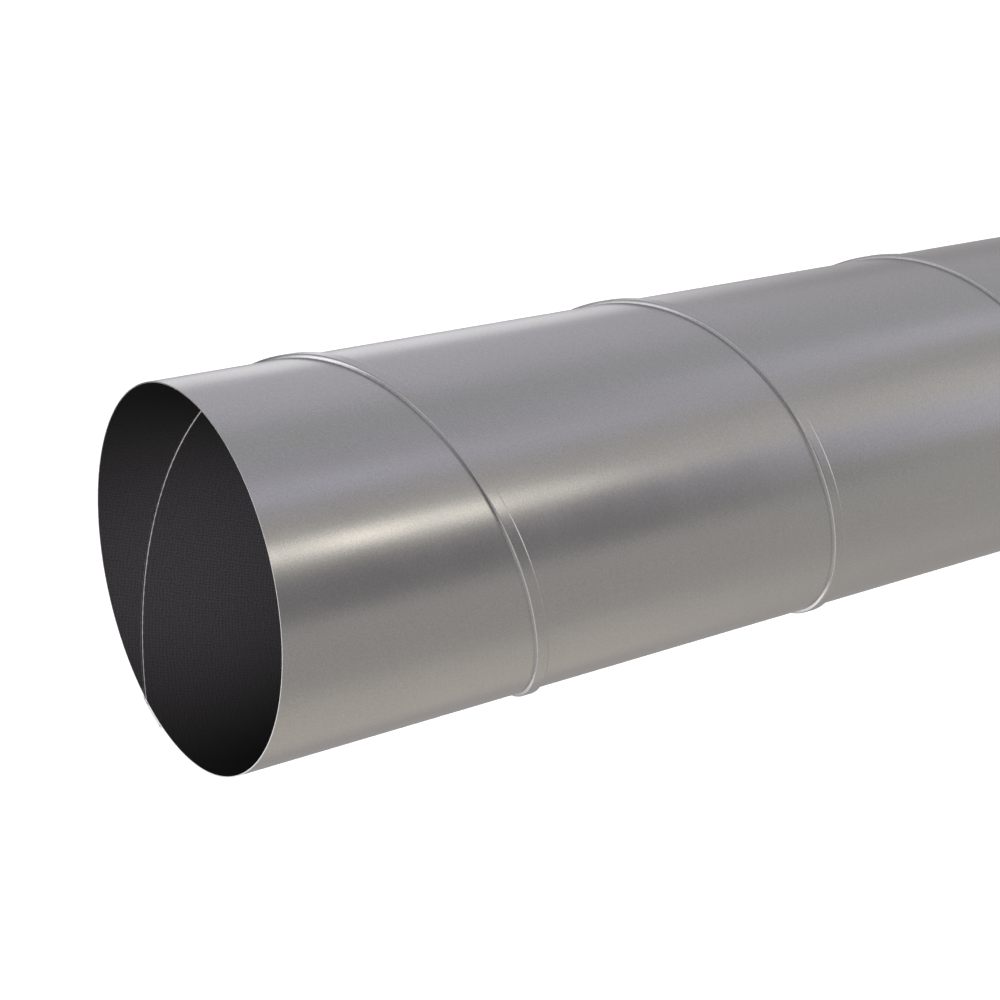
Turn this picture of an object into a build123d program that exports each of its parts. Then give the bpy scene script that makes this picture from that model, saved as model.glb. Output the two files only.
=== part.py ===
from build123d import *
from math import asin, ceil, cos, pi, tan
import os

# One length of spiral ventilation duct, standing on its end with the photographed mouth up.
# A single galvanised strip is wound into a round tube, and its two edges are hooked into
# each other and pressed flat into a four-ply lock seam. Sizes are in millimetres.
inner_diameter = 125.0
wall = 0.4
length = 1000.0
strip_width = 137.0
seam_allowance = 13.5  # the strip width that the two hooks take up
seam_width = 4.4  # square to the seam's run
ply_gap = 0.04  # left between the pressed plies
groove_width = 0.34  # where the strip's edges meet inside the duct
shoulder_lean = 0.3  # along the duct, over the seam's height
fold_chamfer = 0.3  # stands in for the round of the folded edge
first_seam = 53.0  # from the mouth down to the seam, on the +X side

# The strip's cover and the tube's girth set the lead of the spiral.
bore = inner_diameter / 2
outside = bore + wall
mid_girth = pi * (inner_diameter + wall)
lead = asin((strip_width - seam_allowance) / mid_girth)
pitch = mid_girth * tan(lead)

# The spiral runs on past both ends, which are then cut square.
seams_below = ceil((length - first_seam) / pitch) + 1
start = length - first_seam - seams_below * pitch
spiral = Helix(
    pitch=pitch,
    height=(seams_below + 2) * pitch,
    radius=bore,
    center=(0, 0, start),
)


def rod(radius):
    return Cylinder(radius, length, align=(Align.CENTER, Align.CENTER, Align.MIN))


def wound(section):
    """A closed section, as radius and drop below the seam's upper edge, run up the spiral."""
    outline = Polyline([(r, 0, start - drop) for r, drop in section], close=True)
    run = sweep(make_face(outline), path=spiral, is_frenet=True)
    return run & rod(outside + 10 * wall)


# The wound sheet: a tube slit along the line where the strip's edges meet.
slit_top = wall + ply_gap / 2 - groove_width / 2
slit = wound(
    [
        (bore - wall, slit_top),
        (outside + wall, slit_top),
        (outside + wall, slit_top + groove_width),
        (bore - wall, slit_top + groove_width),
    ]
)
sheet = rod(outside) - rod(bore) - slit

# The seam. The upper sheet steps out, runs down as the fourth ply and folds back in under
# the third, which is the lower sheet's own hook. The second and third plies are pressed into
# one; a fine gap follows the lower hook in from the groove, and a crease lies under the fold.
root = bore + wall / 2
seam_span = seam_width / cos(lead)
second_ply = outside + ply_gap
third_ply = second_ply + wall
fourth_ply = third_ply + wall + ply_gap
seam_top = fourth_ply + wall
hook_back = wall + ply_gap
lean = shoulder_lean / (seam_top - outside)
seam = wound(
    [
        (root, -shoulder_lean / 2 - lean * (outside - root)),
        (seam_top, shoulder_lean / 2),
        (seam_top, seam_span - fold_chamfer),
        (seam_top - fold_chamfer, seam_span),
        (second_ply + fold_chamfer / 2, seam_span),
        (second_ply, seam_span - fold_chamfer),
        (root, hook_back + wall),
        (root, hook_back),
        (third_ply + wall, hook_back),
        (fourth_ply - ply_gap / 2, seam_span - wall),
        (fourth_ply, wall),
        (root, wall),
    ]
)
duct = sheet + seam

os.makedirs("parts", exist_ok=True)
export_step(duct.solids()[0], "parts/spiral_duct.step")
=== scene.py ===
from cmath import exp, phase
from math import asin, ceil, copysign, cos, pi, radians, sin, tan

import bmesh
import bpy
import numpy as np
from mathutils import Matrix, Vector


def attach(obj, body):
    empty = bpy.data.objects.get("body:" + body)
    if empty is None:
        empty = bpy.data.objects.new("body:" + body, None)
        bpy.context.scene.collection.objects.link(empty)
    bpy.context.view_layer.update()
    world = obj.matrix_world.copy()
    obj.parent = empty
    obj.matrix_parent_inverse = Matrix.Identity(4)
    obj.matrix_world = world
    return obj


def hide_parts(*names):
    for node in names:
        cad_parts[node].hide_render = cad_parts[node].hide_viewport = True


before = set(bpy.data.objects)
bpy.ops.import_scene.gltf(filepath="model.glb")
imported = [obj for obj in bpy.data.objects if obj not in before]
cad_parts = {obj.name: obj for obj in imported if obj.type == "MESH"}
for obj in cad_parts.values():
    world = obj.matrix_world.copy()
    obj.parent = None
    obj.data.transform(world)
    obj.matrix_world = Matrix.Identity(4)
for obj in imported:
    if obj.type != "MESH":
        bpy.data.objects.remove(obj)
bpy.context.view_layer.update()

# Spiral duct: one strip of hot-dip galvanised sheet steel, 0.4 mm thick, wound into a tube.
# The strip's edges are hooked into each other and pressed into a four-ply seam that stands
# out of the tube and is flush inside it. Both ends are sawn square.
bore, wall, length = 62.5, 0.4, 1000.0  # millimetres until the vertices are made
strip_width, seam_allowance, seam_width, first_seam = 137.0, 13.5, 4.4, 53.0
girth = pi * (2 * bore + wall)
lead = asin((strip_width - seam_allowance) / girth)
pitch = girth * tan(lead)
span = seam_width / cos(lead)
start = length - first_seam - pitch * ceil((length - first_seam + 10.0) / pitch)

# The middle of the sheet as drop below a seam and height over the bore, with the radius of
# each bend: the lower hook of the seam above, the sheet, and the upper hook of the next seam.
tube, upper_hook, lower_hook, outer_ply = 0.20, 0.62, 1.04, 1.48
sheet = [
    (span - 0.7, lower_hook, 0),
    (0.36, lower_hook, 0.38),
    (0.36, tube, 0.34),
    (pitch - 0.22, tube, 0.21),
    (pitch + 0.04, outer_ply, 0.30),
    (pitch + span - 0.2, outer_ply, 0.42),
    (pitch + span - 0.2, upper_hook, 0.42),
    (pitch + 1.1, upper_hook, 0),
]
radii = [r for drop, rise, r in sheet]
corners = [complex(drop, rise) for drop, rise, r in sheet]
middle = [corners[0]]
ways = [(corners[1] - corners[0]) / abs(corners[1] - corners[0])]
for a, b, c, radius in zip(corners, corners[1:], corners[2:], radii[1:]):
    way = (b - a) / abs(b - a)
    turn = phase((c - b) / way)
    to_hub = 1j * copysign(radius, turn)
    first = b - way * radius * tan(abs(turn) / 2)
    if abs(first - middle[-1]) > 1.0:
        middle.append(first - way * 0.25)
        ways.append(way)
    for i in range(5):
        bent = way * exp(1j * turn * i / 4)
        middle.append(first + (way - bent) * to_hub)
        ways.append(bent)
    last, way = middle[-1], ways[-1]
    if abs(c - last) > 1.0:
        middle.append(last + way * 0.25)
        ways.append(way)
    if abs(c - last) > 50.0:
        middle += [last + way * (pitch - 3) * i / 6 for i in range(1, 6)]
        ways += [way] * 5
middle, ways = np.array(middle + corners[-1:]), np.array(ways + ways[-1:])

# Both faces of the sheet, half a wall either side of its middle, make one closed outline.
outline = np.concatenate([middle + ways * 1j * wall / 2, (middle - ways * 1j * wall / 2)[::-1]])

# The outline is wound up the spiral, and each point remembers its place on the flat strip.
per_turn = 120
turns = ceil((length - start) / pitch) + 1
step = np.arange(per_turn * turns + 1)[:, None]
angle = 2 * pi * step / per_turn
drop, radius = outline.real[None, :], bore + outline.imag[None, :]
climb = start + pitch * angle / (2 * pi) - drop
points = np.stack([radius * np.cos(angle), radius * np.sin(angle), climb], axis=2)
strip_run = girth * angle / (2 * pi * cos(lead)) - drop * sin(lead)
strip_place = np.stack([strip_run, 0 * angle - drop * cos(lead), 0 * strip_run], axis=2)
n = len(outline)
row = np.arange(per_turn * turns)[:, None] * n
low = (row + np.arange(n)).ravel()
beside = (row + (np.arange(n) + 1) % n).ravel()
quads = np.stack([low, low + n, beside + n, beside], axis=1)
mesh = bpy.data.meshes.new("spiral_duct_sheet")
mesh.from_pydata((points.reshape(-1, 3) * 0.001).tolist(), [], quads.tolist())
flat_strip = mesh.attributes.new("flat_strip", "FLOAT_VECTOR", "POINT")
flat_strip.data.foreach_set("vector", (strip_place * 0.001).astype(np.float32).ravel())

work = bmesh.new()
work.from_mesh(mesh)
for height, up in ((0.0, -1), (length * 0.001, 1)):
    cut = bmesh.ops.bisect_plane(
        work,
        geom=work.verts[:] + work.edges[:] + work.faces[:],
        plane_co=(0, 0, height),
        plane_no=(0, 0, up),
        clear_outer=True,
    )
    rim = [e for e in cut["geom_cut"] if isinstance(e, bmesh.types.BMEdge)]
    for edge in rim:
        edge.smooth = False
    bmesh.ops.triangle_fill(work, edges=rim, use_beauty=True, normal=(0, 0, up))
bmesh.ops.recalc_face_normals(work, faces=work.faces[:])
for face in work.faces:
    face.smooth = True
work.to_mesh(mesh)
work.free()
duct = bpy.data.objects.new("spiral_duct_sheet", mesh)
bpy.context.collection.objects.link(duct)

# Zinc coat: bright metal with a fine grain, faint rolling streaks along the strip and faint
# clouding. The inside is dull, with a fine, slightly uneven cross grain over a near-black tone;
# that near-black tone is painted shade for the dim inside of the tube, not the zinc's own colour.
zinc = bpy.data.materials.new("galvanised_steel")
zinc.use_nodes = True
nodes, links = zinc.node_tree.nodes, zinc.node_tree.links
metal = nodes["Principled BSDF"]
place = nodes.new("ShaderNodeTexCoord")
strip = nodes.new("ShaderNodeAttribute")
strip.attribute_name = "flat_strip"


def noise(vector, scale, detail):
    texture = nodes.new("ShaderNodeTexNoise")
    texture.inputs["Scale"].default_value = scale
    texture.inputs["Detail"].default_value = detail
    links.new(vector, texture.inputs["Vector"])
    return texture.outputs["Fac"]


def scaled(vector, factors):
    stretch = nodes.new("ShaderNodeVectorMath")
    stretch.operation = "MULTIPLY"
    stretch.inputs[1].default_value = factors
    links.new(vector, stretch.inputs[0])
    return stretch.outputs["Vector"]


def spread(value, low, high, to_low, to_high):
    ramp = nodes.new("ShaderNodeMapRange")
    for name, number in (("From Min", low), ("From Max", high), ("To Min", to_low), ("To Max", to_high)):
        ramp.inputs[name].default_value = number
    links.new(value, ramp.inputs["Value"])
    return ramp.outputs["Result"]


def combined(operation, *values):
    sum_up = nodes.new("ShaderNodeMath")
    sum_up.operation = operation
    for socket, value in zip(sum_up.inputs, values):
        if isinstance(value, (int, float)):
            socket.default_value = value
        else:
            links.new(value, socket)
    return sum_up.outputs["Value"]


def mixed(one, other, share, kind="FLOAT"):
    blend = nodes.new("ShaderNodeMix")
    blend.data_type = kind
    for socket, value in (("A", one), ("B", other)):
        socket = next(s for s in blend.inputs if s.name == socket and s.enabled)
        if isinstance(value, tuple):
            socket.default_value = (*value, 1)
        elif isinstance(value, float):
            socket.default_value = value
        else:
            links.new(value, socket)
    links.new(share, blend.inputs["Factor"])
    return next(s for s in blend.outputs if s.name == "Result" and s.enabled)


grain = noise(place.outputs["Object"], 1700.0, 2.0)
streak = noise(scaled(strip.outputs["Vector"], (25.0, 1100.0, 0.0)), 1.0, 2.0)
cloud = noise(place.outputs["Object"], 24.0, 4.0)
axis_reach = nodes.new("ShaderNodeVectorMath")
axis_reach.operation = "LENGTH"
links.new(scaled(place.outputs["Object"], (1, 1, 0)), axis_reach.inputs[0])
inside = spread(axis_reach.outputs["Value"], 0.06251, 0.06255, 1.0, 0.0)

bright = combined("MULTIPLY", spread(grain, 0.3, 0.7, 0.52, 0.60), spread(streak, 0.3, 0.7, 0.99, 1.01))
thread = nodes.new("ShaderNodeSeparateXYZ")
links.new(strip.outputs["Vector"], thread.inputs[0])
wander = spread(noise(strip.outputs["Vector"], 420.0, 1.0), 0.3, 0.7, -2.2, 2.2)
lengthwise = combined("MULTIPLY", thread.outputs["X"], 2 * pi / 0.00105)
crosswise = combined("MULTIPLY", thread.outputs["Y"], 2 * pi / 0.0012)
lengthwise, crosswise = (combined("SINE", combined("ADD", run, wander)) for run in (lengthwise, crosswise))
# Painted shade: the inside's near-black colour stands in for the shade inside the tube; only the cross
# grain over it is texture.
cross_grain_and_painted_shade = spread(combined("ADD", lengthwise, crosswise), -2.0, 2.0, 0.008, 0.0145)
links.new(mixed(bright, cross_grain_and_painted_shade, inside), metal.inputs["Base Color"])
links.new(mixed(spread(cloud, 0.3, 0.7, 0.22, 0.28), 0.55, inside), metal.inputs["Roughness"])
links.new(spread(inside, 0.0, 1.0, 1.0, 0.0), metal.inputs["Metallic"])
metal.inputs["Specular IOR Level"].default_value = 0.03
relief = nodes.new("ShaderNodeBump")
relief.inputs["Strength"].default_value = 0.25
relief.inputs["Distance"].default_value = 0.00002
links.new(grain, relief.inputs["Height"])
links.new(relief.outputs["Normal"], metal.inputs["Normal"])
mesh.materials.append(zinc)
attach(duct, "root")
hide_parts("spiral_duct")

# Floor: a plain pale studio floor that the duct stands on. Polished metal doesn't mirror it,
# so that the tones on the duct come from the panels round it alone.
ground = bpy.data.meshes.new("floor")
reach = 60.0
ground.from_pydata(
    [(-reach, -reach, 0), (reach, -reach, 0), (reach, reach, 0), (-reach, reach, 0)], [], [(0, 1, 2, 3)]
)
floor = bpy.data.objects.new("floor", ground)
floor.visible_glossy = False
bpy.context.collection.objects.link(floor)
paint = bpy.data.materials.new("floor_paint")
paint.use_nodes = True
paint.node_tree.nodes["Principled BSDF"].inputs["Base Color"].default_value = (0.85, 0.85, 0.85, 1)
paint.node_tree.nodes["Principled BSDF"].inputs["Roughness"].default_value = 0.9
ground.materials.append(paint)

# Camera: the photograph's viewing angle on the mouth, turned with the duct, which stands here.
lens = bpy.data.cameras.new("camera")
lens.lens = 72.05
lens.sensor_width = 36.0
camera = bpy.data.objects.new("camera", lens)
right, up, forward = (0.0, -0.57505, -0.81812), (0.94539, 0.26667, -0.18744), (-0.32595, 0.77344, -0.54365)
camera.matrix_world = Matrix.Translation((0.22714, -0.53239, 1.25355)) @ Matrix(
    (right, up, [-x for x in forward])
).transposed().to_4x4()
bpy.context.collection.objects.link(camera)
bpy.context.scene.camera = camera

# Studio light: rings of soft panels, with one black flag, stand round the duct and grade what
# it mirrors. A panel is its bearing in degrees from +X, the half-widths where it is full and
# where it has faded out, and its brightness. Six rings lie one over the other, to the crown.
world = bpy.data.worlds.new("surround")
world.use_nodes = True
nodes, links = world.node_tree.nodes, world.node_tree.links
look = nodes.new("ShaderNodeTexCoord")
height = nodes.new("ShaderNodeSeparateXYZ")
links.new(look.outputs["Generated"], height.inputs[0])
bearing = nodes.new("ShaderNodeVectorMath")
bearing.operation = "NORMALIZE"
links.new(scaled(look.outputs["Generated"], (1, 1, 0)), bearing.inputs[0])


def faded(value, nothing_at, full_at):
    ramp = nodes.new("ShaderNodeMapRange")
    ramp.interpolation_type = "SMOOTHSTEP"
    ramp.inputs["From Min"].default_value = nothing_at
    ramp.inputs["From Max"].default_value = full_at
    links.new(value, ramp.inputs["Value"])
    return ramp.outputs["Result"]


def ring(tone, panels):
    for toward, full, gone, brightness in panels:
        facing = nodes.new("ShaderNodeVectorMath")
        facing.operation = "DOT_PRODUCT"
        facing.inputs[1].default_value = (cos(radians(toward)), sin(radians(toward)), 0)
        links.new(bearing.outputs["Vector"], facing.inputs[0])
        share = faded(facing.outputs["Value"], cos(radians(gone)), cos(radians(full)))
        tone = mixed(tone, brightness, share, "RGBA")
    return tone


below = ring((0.55, 0.54, 0.53), ((-75, 18, 45, (1.5, 1.47, 1.42)),))
floor_level = ring(
    (0.465, 0.450, 0.43),
    (
        (28, 10, 60, (0.495, 0.485, 0.505)),
        (100, 0, 30, (0.44, 0.43, 0.45)),
        (66, 3, 15, (0.385, 0.37, 0.372)),
        (-13.5, 0, 11.5, (0.66, 0.65, 0.71)),
        (150, 0, 30, (0.40, 0.38, 0.365)),
        (-60, 0, 24, (0.64, 0.62, 0.59)),
        (-77, 0, 18, (0.64, 0.62, 0.69)),
    ),
)
duct_level = ring(
    (0.455, 0.435, 0.41),
    (
        (20, 30, 85, (0.45, 0.437, 0.467)),
        (42, 0, 36, (0.60, 0.585, 0.625)),
        (83, 12, 20, (1.0, 0.98, 1.01)),
        (116, 8, 30, (0.36, 0.36, 0.39)),
        (105, 6, 17, (0.36, 0.355, 0.38)),
        (2, 0, 14, (0.445, 0.445, 0.447)),
        (-30.5, 0, 9.5, (0.61, 0.595, 0.675)),
        (178, 5, 36, (0.60, 0.550, 0.50)),
        (144, 0, 18, (0.41, 0.385, 0.375)),
        (-91, 5, 19.5, (0.23, 0.222, 0.226)),
        (-130, 0, 22, (0.42, 0.40, 0.38)),
    ),
)
upper_level = ring(
    (0.10, 0.10, 0.10),
    (
        (0, 45, 75, (0.48, 0.47, 0.49)),
        (126, 11, 20, (1.5, 1.5, 1.5)),
        (-90, 18, 38, (0.75, 0.73, 0.71)),
        (-165, 35, 55, (0.82, 0.80, 0.77)),
    ),
)
top_level = ring(
    (0.10, 0.10, 0.10),
    (
        (-5, 62, 82, (0.48, 0.47, 0.49)),
        (-150, 25, 50, (0.76, 0.74, 0.72)),
    ),
)
crown = ring(
    (0.62, 0.61, 0.63),
    (
        (-32, 14, 38, (0.88, 0.87, 0.88)),
        (97, 16, 42, (2.3, 2.3, 2.35)),
    ),
)
light = mixed(duct_level, floor_level, faded(height.outputs["Z"], -0.54, -0.72), "RGBA")

# The flag hangs lower than its ring, down to where the floor's ring takes over.
flagged = ring(light, ((-86, 8, 20, (0.20, 0.193, 0.203)),))
flag_top, flag_foot = faded(height.outputs["Z"], -0.50, -0.57), faded(height.outputs["Z"], -0.685, -0.625)
light = mixed(light, flagged, combined("MULTIPLY", flag_top, flag_foot), "RGBA")
light = mixed(light, below, faded(height.outputs["Z"], -0.80, -0.88), "RGBA")
light = mixed(light, upper_level, faded(height.outputs["Z"], -0.1, 0.15), "RGBA")
light = mixed(light, top_level, faded(height.outputs["Z"], 0.54, 0.62), "RGBA")
light = mixed(light, crown, faded(height.outputs["Z"], 0.84, 0.88), "RGBA")
links.new(light, nodes["Background"].inputs["Color"])
bpy.context.scene.world = world

# A strip lamp draws the long highlight, a narrow spot shows the inside of the mouth, and a
# wide soft sky whitens the floor.
strip_light = bpy.data.lights.new("front_strip", "AREA")
strip_light.shape = "RECTANGLE"
strip_light.size, strip_light.size_y, strip_light.energy = 0.11, 0.27, 0.155
strip_light.color = (1.0, 0.93, 0.81)
strip_lamp = bpy.data.objects.new("front_strip", strip_light)
strip_lamp.location = (0.34, -0.73, 0.55)
across = Vector((0, 0, 0.9)) - strip_lamp.location
strip_lamp.rotation_euler = across.to_track_quat("-Z", "Y").to_euler()
strip_lamp.visible_camera = False
bpy.context.collection.objects.link(strip_lamp)
mouth_light = bpy.data.lights.new("mouth_spot", "SPOT")
mouth_light.energy, mouth_light.shadow_soft_size = 50.0, 0.03
mouth_light.spot_size, mouth_light.spot_blend = radians(16.5), 1.0
mouth_light.color = (1.0, 0.93, 1.0)
mouth_spot = bpy.data.objects.new("mouth_spot", mouth_light)
mouth_spot.location = (0.10, -0.24, 1.34)
into_bore = Vector((-0.022, 0.060, 0.952)) - mouth_spot.location
mouth_spot.rotation_euler = into_bore.to_track_quat("-Z", "Y").to_euler()
mouth_spot.visible_camera = mouth_spot.visible_glossy = False
bpy.context.collection.objects.link(mouth_spot)
sky_light = bpy.data.lights.new("overhead_sky", "SUN")
sky_light.energy = 3.7
sky_light.angle = radians(50)
sky = bpy.data.objects.new("overhead_sky", sky_light)
sky.rotation_euler = Vector((0.25, -0.59, -0.77)).to_track_quat("-Z", "Y").to_euler()
sky.visible_glossy = False
bpy.context.collection.objects.link(sky)
bpy.context.scene.view_settings.view_transform = "Standard"
